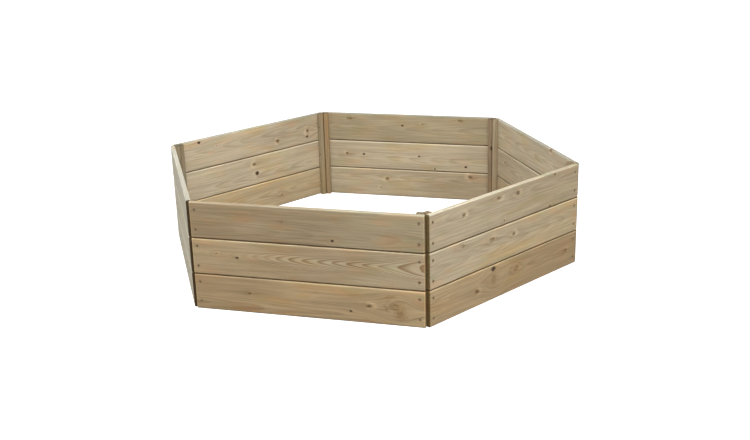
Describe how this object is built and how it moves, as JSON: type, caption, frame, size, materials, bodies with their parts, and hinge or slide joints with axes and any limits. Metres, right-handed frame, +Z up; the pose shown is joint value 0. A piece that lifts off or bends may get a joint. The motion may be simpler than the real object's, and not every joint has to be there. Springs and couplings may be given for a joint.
{
  "type": "hexagonal timber sandpit",
  "caption": "Open hexagonal sandpit frame of planed softwood boards on edge, screwed to mitred upright battens inside each corner. No floor and no cover.",
  "frame": {"origin": "on the ground at the middle of the hexagon", "axes": "+Z up, +X towards the right-hand corner, the front panel faces -Y"},
  "size_m": [1.2216, 1.064, 0.2865],
  "materials": {
    "board_wood": "planed pressure-treated softwood, uncoated",
    "batten_wood": "planed pressure-treated softwood batten, uncoated",
    "screw_steel": "brown passivated wood screws"
  },
  "bodies": {
    "root": {"front_panel_bottom_board": "board_wood", "front_panel_middle_board": "board_wood", "front_panel_top_board": "board_wood", "front_panel_left_batten": "batten_wood", "front_panel_right_batten": "batten_wood", "front_panel_screws": "screw_steel", "front_right_panel_bottom_board": "board_wood", "front_right_panel_middle_board": "board_wood", "front_right_panel_top_board": "board_wood", "front_right_panel_left_batten": "batten_wood", "front_right_panel_right_batten": "batten_wood", "front_right_panel_screws": "screw_steel", "back_right_panel_bottom_board": "board_wood", "back_right_panel_middle_board": "board_wood", "back_right_panel_top_board": "board_wood", "back_right_panel_left_batten": "batten_wood", "back_right_panel_right_batten": "batten_wood", "back_right_panel_screws": "screw_steel", "back_panel_bottom_board": "board_wood", "back_panel_middle_board": "board_wood", "back_panel_top_board": "board_wood", "back_panel_left_batten": "batten_wood", "back_panel_right_batten": "batten_wood", "back_panel_screws": "screw_steel", "back_left_panel_bottom_board": "board_wood", "back_left_panel_middle_board": "board_wood", "back_left_panel_top_board": "board_wood", "back_left_panel_left_batten": "batten_wood", "back_left_panel_right_batten": "batten_wood", "back_left_panel_screws": "screw_steel", "front_left_panel_bottom_board": "board_wood", "front_left_panel_middle_board": "board_wood", "front_left_panel_top_board": "board_wood", "front_left_panel_left_batten": "batten_wood", "front_left_panel_right_batten": "batten_wood", "front_left_panel_screws": "screw_steel", "front_left_corner_screws": "screw_steel", "front_right_corner_screws": "screw_steel", "right_corner_screws": "screw_steel", "back_right_corner_screws": "screw_steel", "back_left_corner_screws": "screw_steel", "left_corner_screws": "screw_steel"}
  },
  "joints": []
}
